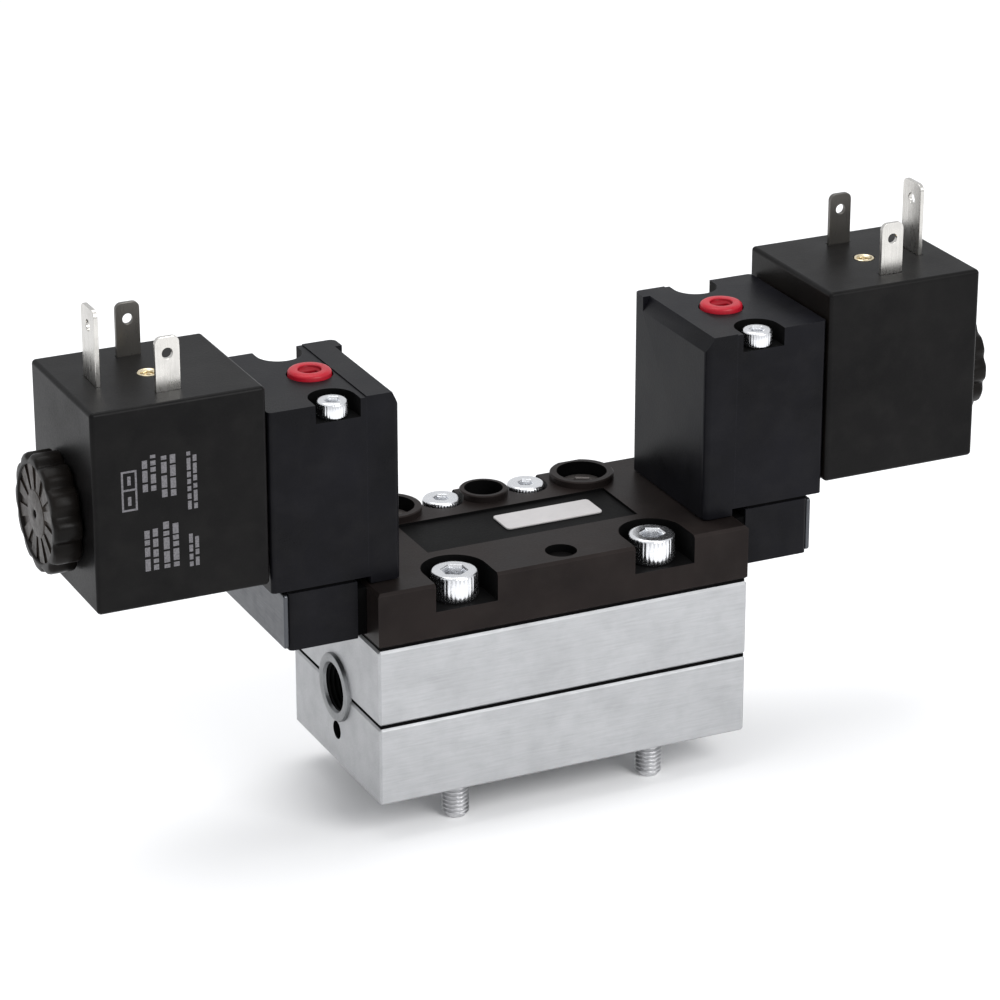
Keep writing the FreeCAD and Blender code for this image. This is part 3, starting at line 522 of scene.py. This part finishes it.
for node, width, segments in SINGLE_BODIES:
    piece = refined(node, "valve", width, segments)
    if node == "lower_base":
        paint_shade_in_vents(piece)
    if node == "valve_body":
        # Painted shade in the screw pockets and holes of the body
        paint_shade_in_hollows(piece, node, (2 * SHELL, 2 * SHELL, 0.2), (2 * SHELL, 2 * SHELL, BOSS_RISE + 0.15))
for side in SIDES:
    for kind, width, segments in PAIRED_BODIES:
        node = kind + "_" + side
        piece = refined(node, "valve", width, segments)
        if kind == "line_terminals":
            # Painted shade: the rear blades get the darker copy of the blade metal
            also(piece, "painted_shade_blade", lambda mid, normal: mid.y > 0)
        if kind == "coil_housing":
            # Painted shade: the coil's inner face, towards the pilot, gets the near-black material
            also(piece, "painted_shade_black", lambda mid, normal: normal.x * SIGN[side] < -0.9)
        if kind == "pilot_body":
            # Painted shade in the screw pockets of the pilot body
            paint_shade_in_hollows(piece, node, (SHELL, SHELL, 0.2), (SHELL, SHELL, 0.2))


# ---------------------------------------------------------------- screws

KNURLS = 36
SOCKET_FLOOR = 0.45
THREAD_DEPTH = 0.549


def knurled(radius, depth):
    """Round outline with a fine straight knurl."""
    def at(angle):
        return radius - depth * (0.5 - 0.5 * math.cos(KNURLS * angle))
    return at


def socket_head(bm, place, head_r, head_h, half_flat, seat, knurl):
    """Socket cap head with a straight knurl, standing on its seat."""
    top = seat + head_h
    floor = seat + head_h * SOCKET_FLOOR

    def hexagon(grow):
        return lambda angle: polygon_radius(half_flat + grow, angle)

    side = knurled(head_r, knurl)
    rows = [(0, floor - 0.25), (half_flat * 0.7, floor - 0.05), (hexagon(0), floor), (hexagon(0), top - 0.28),
            (hexagon(0.08), top - 0.14), (hexagon(0.24), top), (head_r * 0.80, top),
            (head_r - 0.42, top - 0.02), (head_r - 0.24, top - 0.12), (head_r - 0.10, top - 0.30),
            (side, top - 0.42), (side, seat + 0.42), (head_r - 0.10, seat + 0.28), (head_r - 0.30, seat),
            (0, seat)]
    lathe(bm, rows, 180, place)


def shank(bm, place, radius, seat, tip, thread_top, pitch):
    """Plain shank with a helical thread down to a chamfered tip."""
    core = radius - THREAD_DEPTH * pitch
    rows = [(0, seat), (radius * 0.97, seat), (radius * 0.97, thread_top + 0.5), (core, thread_top)]
    rows += thread_rows(core, radius, thread_top - 0.05, tip + 0.75, pitch)
    rows += [(core, tip + 0.5), (core - 0.15, tip + 0.12), (core - 0.35, tip), (0, tip)]
    lathe(bm, rows, 48, place)


def screw_set(name, node, sizes, keep=None, look=None, replaced=(), knurl=0.09):
    """Detailed screws in the places of the CAD ones, with the sizes of head, socket, shank and thread."""
    head_r, head_h, half_flat, radius, pitch, thread_length = sizes
    bm = bmesh.new()
    for low, high in node_boxes(node):
        x, y = (low.x + high.x) / 2, (low.y + high.y) / 2
        if keep and not keep(y):
            continue
        seat = high.z - head_h
        place = upright(x, y)
        socket_head(bm, place, head_r, head_h, half_flat, seat, knurl)
        shank(bm, place, radius, seat + 0.2, low.z, low.z + thread_length, pitch)
    screws = new_piece(name, to_mesh(name, bm, 40), "valve", "bright_steel", *replaced, look=look)
    return also(screws, "tip_steel", lambda mid, normal: mid.z < 0)


# Head radius and height, half the socket's width, shank radius, thread pitch and thread length
M5 = (4.25, 5.0, 2.0, 2.5, 0.8, 13.0)
M4_BIG_HEAD = (3.5, 3.5, 1.25, 2.0, 0.7, 10.0)
M3 = (2.75, 3.0, 1.25, 1.5, 0.5, 8.0)

screw_set("body_screws_front", "body_screws", M5, keep=lambda y: y < 0, replaced=("body_screws",))
# Painted shade: the rear screws are the same as the front ones but get the darker copy of the steel
screw_set("body_screws_rear", "body_screws", M5, keep=lambda y: y > 0, look="painted_shade_steel")
screw_set("retaining_screws_detail", "retaining_screws", M4_BIG_HEAD, replaced=("retaining_screws",))
screw_set("pilot_screws_detail", "pilot_screws", M3, replaced=("pilot_screws",), knurl=0.07)


# ---------------------------------------------------------------- coil nuts

NUT_RIBS = 12
HUB_R = 4.4
STUD_CLEARANCE_R = 3.3
DIMPLE_R = 0.8


def lobed(radius, depth):
    """Round outline with broad ribs and narrow grooves."""
    def at(angle):
        return radius - depth * (0.5 - 0.5 * math.cos(NUT_RIBS * angle)) ** 2.5
    return at


def coil_nut(side):
    """Ribbed nut with a closed hub and broad flat spokes in its dished face."""
    low, high = box_mm("coil_nut_" + side)
    inner = min(abs(low.x), abs(high.x))
    outer = max(abs(low.x), abs(high.x))
    centre_z = (low.z + high.z) / 2
    radius = (high.z - low.z) / 2
    place = along_x(SIGN[side], 0, centre_z)
    dish = radius - 2.0
    pocket = outer - 0.6
    bore_floor = outer - 0.75
    bm = bmesh.new()
    rows = [(STUD_CLEARANCE_R, inner), (lobed(radius - 0.45, 0.8), inner),
            (lobed(radius - 0.1, 1.0), inner + 0.25), (lobed(radius, 1.0), inner + 0.5),
            (lobed(radius, 1.0), outer - 0.9),
            (lobed(radius - 0.18, 0.9), outer - 0.4), (lobed(radius - 0.55, 0.7), outer - 0.1),
            (lobed(radius - 0.9, 0.5), outer), (dish + 0.2, outer), (dish, outer - 0.15),
            (dish - 0.15, pocket),
            (HUB_R + 0.25, pocket), (HUB_R, outer - 0.45), (HUB_R - 0.3, outer - 0.2), (2.2, outer - 0.05),
            (DIMPLE_R + 0.1, outer - 0.02), (DIMPLE_R - 0.1, outer - 0.1), (DIMPLE_R - 0.2, outer - 0.5),
            (0, outer - 0.55)]
    lathe(bm, rows, 144, place)
    lathe(bm, [(STUD_CLEARANCE_R, inner), (STUD_CLEARANCE_R, bore_floor), (0, bore_floor)], 144, place)
    outline = ((HUB_R - 0.2, -0.7), (dish + 0.1, -1.3), (dish + 0.1, 1.3), (HUB_R - 0.2, 0.7))
    for step in range(NUT_RIBS):
        turn = place @ Matrix.Rotation(2 * math.pi * (step + 0.5) / NUT_RIBS, 4, "Z")
        back, front = ([turn @ Vector((x * MM, y * MM, z * MM)) for x, y in outline]
                       for z in (pocket - 0.1, outer - 0.3))
        join_loops(bm, back, front)
    name = "coil_nut_detail_" + side
    nut = new_piece(name, to_mesh(name, bm, 30), "valve", "dark_steel_nut", "coil_nut_" + side)

    # Painted shade: the nut's sides, outer rim, bore and central dimple get the near-black material; only the
    # dished face keeps the nut's own tone
    def black(mid, normal):
        reach = math.hypot(mid.y, mid.z - centre_z)
        return reach > dish - 0.1 or reach < DIMPLE_R or abs(mid.x) < outer - 1

    also(nut, "painted_shade_black", black)


for side in SIDES:
    coil_nut(side)


# ---------------------------------------------------------------- overrides

WELL_FLOOR = 75.2
STEM_R = 2.4
RECESS_R = 2.05


def override_slot(grow):
    return lambda angle: slot_radius(1.45 + grow, 0.5 + grow, angle)


def override_button(side):
    """Round button on its stem, with a slotted recess."""
    low, high = box_mm("override_" + side)
    x = (low.x + high.x) / 2
    radius = (high.x - low.x) / 2
    top, foot = high.z, low.z
    rows = [(0, top - 1.15), (override_slot(0), top - 1.15), (override_slot(0), top - 0.72),
            (override_slot(0.1), top - 0.62), (RECESS_R - 0.3, top - 0.6), (RECESS_R - 0.1, top - 0.5),
            (RECESS_R + 0.05, top - 0.14), (RECESS_R + 0.2, top - 0.02), (RECESS_R + 0.35, top),
            (radius - 0.75, top), (radius - 0.40, top - 0.08), (radius - 0.12, top - 0.3),
            (radius, top - 0.55), (radius, WELL_FLOOR + 0.1), (radius - 0.15, WELL_FLOOR),
            (STEM_R, WELL_FLOOR), (STEM_R, foot + 0.4), (STEM_R - 0.3, foot), (0, foot)]
    bm = bmesh.new()
    lathe(bm, rows, 144, upright(x, 0))
    name = "override_detail_" + side
    body = "override_%s_body" % side
    button = new_piece(name, to_mesh(name, bm, 28), body, "red_plastic", "override_" + side)
    # Painted shade: the recessed centre of the button gets the darker red
    also(button, "painted_shade_red", lambda mid, normal: mid.z > WELL_FLOOR
         and math.hypot(mid.x - x, mid.y) < RECESS_R)


for side in SIDES:
    override_button(side)


# ---------------------------------------------------------------- threaded ports and inserts

PORT_BORE_R = 4.3
PORT_CREST_R = 4.75
PORT_PITCH = 0.907
BUSH_LENGTH = 10.0
INSERT_BORE_R = 1.2
INSERT_CREST_R = 1.45
INSERT_PITCH = 0.5


def end_port_bushes():
    """Threaded bush in each end of the base."""
    low, high = box_mm("end_port_bushes")
    radius = (high.y - low.y) / 2
    centre_z = (high.z + low.z) / 2
    outer = high.x
    inner = outer - BUSH_LENGTH
    rows = [(PORT_BORE_R, inner), (radius, inner), (radius, outer - 0.35), (radius - 0.12, outer - 0.1),
            (radius - 0.35, outer), (5.1, outer), (PORT_CREST_R, outer - 0.15), (4.45, outer - 0.7)]
    rows += thread_rows(PORT_CREST_R, PORT_BORE_R, outer - 0.8, inner + 0.4, PORT_PITCH)
    rows += [(PORT_BORE_R, inner)]
    bm = bmesh.new()
    for side in SIDES:
        lathe(bm, rows, 96, along_x(SIGN[side], 0, centre_z))
    name = "end_port_bushes_detail"
    bushes = new_piece(name, to_mesh(name, bm, 34), "valve", "port_bush", "end_port_bushes")
    # Painted shade: the bore and thread inside each bush get the near-black material
    also(bushes, "painted_shade_bore", lambda mid, normal: abs(mid.x) < outer - 0.5
         and math.hypot(mid.y, mid.z - centre_z) < PORT_CREST_R + 0.15)


def terminal_insert(side):
    """Threaded brass insert between the blades of a coil."""
    low, high = box_mm("terminal_insert_" + side)
    radius = (high.x - low.x) / 2
    top, bottom = high.z, low.z
    rows = [(0, bottom + 0.5), (INSERT_BORE_R, bottom + 0.55)]
    rows += thread_rows(INSERT_CREST_R, INSERT_BORE_R, bottom + 0.6, top - 0.35, INSERT_PITCH)
    rows += [(1.3, top - 0.25), (1.5, top - 0.04), (1.58, top), (radius - 0.12, top), (radius, top - 0.12),
             (radius, bottom), (0, bottom)]
    bm = bmesh.new()
    lathe(bm, rows, 60, upright((low.x + high.x) / 2, 0))
    name = "terminal_insert_detail_" + side
    new_piece(name, to_mesh(name, bm, 34), "valve", "brass_insert", "terminal_insert_" + side)


end_port_bushes()
for side in SIDES:
    terminal_insert(side)


# ---------------------------------------------------------------- printed marks on the coils

# Blocks of dashes: distance in from the coil's outer face, width, height span from the coil axis
MARK_BLOCKS = ((8.8, 3.0, 7.0, 13.5), (8.8, 3.0, -7.5, 0.5), (12.2, 3.2, 5.5, 13.0), (12.2, 3.4, -7.5, 1.0),
               (16.8, 2.2, 2.5, 13.0), (16.8, 2.2, -8.0, -2.0))
MARK_COLUMNS = 2
# The outlined box, with the same four numbers
MARK_FRAME = (5.0, 2.8, 4.0, 11.3)
FRAME_LINE = 0.35
INK_LIFT = 0.03
MARK_SEED = 11


def coil_marks(side):
    """Plain dashes and one outlined box, in place of print."""
    low, high = box_mm("coil_housing_" + side)
    sign = SIGN[side]
    outer = max(abs(low.x), abs(high.x))
    face_y, facing = (low.y, -1) if side == "left" else (high.y, 1)
    nut_low, nut_high = box_mm("coil_nut_" + side)
    axis_z = (nut_low.z + nut_high.z) / 2
    bm = bmesh.new()

    def slab(near, width, z0, z1):
        xs = (sign * (outer - near), sign * (outer - near - width))
        corners = ((xs[0], z0), (xs[1], z0), (xs[1], z1), (xs[0], z1))
        back, front = ([Vector((x, face_y + facing * lift, axis_z + z)) * MM for x, z in corners]
                       for lift in (-INK_LIFT / 2, INK_LIFT))
        join_loops(bm, back, front)

    near, width, z0, z1 = MARK_FRAME
    for x in (near, near + width - FRAME_LINE):
        slab(x, FRAME_LINE, z0, z1)
    for z in (z0, z1 - FRAME_LINE, (z0 + z1) / 2):
        slab(near + FRAME_LINE, width - 2 * FRAME_LINE, z, z + FRAME_LINE)
    for z in (z0 + 1.0, z1 - 2.6):
        slab(near + 1.1, 0.6, z, z + 1.6)
    dice = random.Random(MARK_SEED)
    for near, width, z0, z1 in MARK_BLOCKS:
        pitch = width / MARK_COLUMNS
        for column in range(MARK_COLUMNS):
            z = z0
            while z < z1 - 0.5:
                length = min(dice.uniform(0.7, 2.2), z1 - z)
                slab(near + column * pitch, pitch * 0.62, z, z + length)
                z += length + dice.uniform(0.25, 0.5)
    name = "coil_marks_" + side
    new_piece(name, to_mesh(name, bm), "valve", "coil_moulding", look="pad_print")


for side in SIDES:
    coil_marks(side)


# ---------------------------------------------------------------- stage, light and camera

scene = bpy.context.scene
scene.view_settings.view_transform = "Standard"
scene.view_settings.look = "None"


def floor_material():
    """Pale matt floor with a faint drift of tone."""
    s = Shader("pale_floor")
    soft = s.noise(120.0, 2.0)
    tone = s.blend(s.remap(soft, 0.3, 0.7), rgba(0.90, 0.90, 0.905), rgba(0.93, 0.93, 0.93))
    return s.finish(tone, 0.65)


FLOOR_REACH = 3.0

bm = bmesh.new()
for x, y in ((-1, -1), (1, -1), (1, 1), (-1, 1)):
    bm.verts.new((x * FLOOR_REACH, y * FLOOR_REACH, CAD_BOX[0].z))
bm.faces.new(bm.verts)
floor_mesh = bpy.data.meshes.new("floor")
bm.to_mesh(floor_mesh)
bm.free()
floor = bpy.data.objects.new("floor", floor_mesh)
floor_mesh.materials.append(floor_material())
scene.collection.objects.link(floor)

world = bpy.data.worlds.new("studio")
scene.world = world
world.use_nodes = True
background = world.node_tree.nodes["Background"]
background.inputs["Color"].default_value = (0.97, 0.98, 1.0, 1.0)
background.inputs["Strength"].default_value = 0.85


def area_light(name, location, target, size, power):
    """Soft white light aimed at a target."""
    data = bpy.data.lights.new(name, "AREA")
    data.shape = "RECTANGLE"
    data.size, data.size_y = size
    data.energy = power
    made = bpy.data.objects.new(name, data)
    made.location = location
    made.rotation_euler = (Vector(target) - Vector(location)).to_track_quat("-Z", "Y").to_euler()
    scene.collection.objects.link(made)


MIDDLE = (0.0, 0.0, 0.045)
area_light("key", (0.25, -0.75, 0.65), MIDDLE, (0.5, 0.5), 5.5)
area_light("top", (-0.05, 0.15, 0.8), MIDDLE, (0.7, 0.5), 3.0)

AZIMUTH = math.radians(25.34)
ELEVATION = math.radians(22.36)
DISTANCE = 0.71922
TARGET = Vector((-0.00393, 0.0, 0.04581))
FOCAL_MM = 143.4
back = Vector((-math.sin(AZIMUTH) * math.cos(ELEVATION), -math.cos(AZIMUTH) * math.cos(ELEVATION),
               math.sin(ELEVATION)))
right = Vector((math.cos(AZIMUTH), -math.sin(AZIMUTH), 0.0))
up = back.cross(right)
camera_data = bpy.data.cameras.new("camera")
camera_data.lens = FOCAL_MM
camera_data.sensor_width = 36.0
camera_data.clip_start = 0.05
camera_data.clip_end = 20.0
camera = bpy.data.objects.new("camera", camera_data)
turned = Matrix((right, up, back)).transposed().to_4x4()
camera.matrix_world = Matrix.Translation(TARGET + back * DISTANCE) @ turned
scene.collection.objects.link(camera)
scene.camera = camera
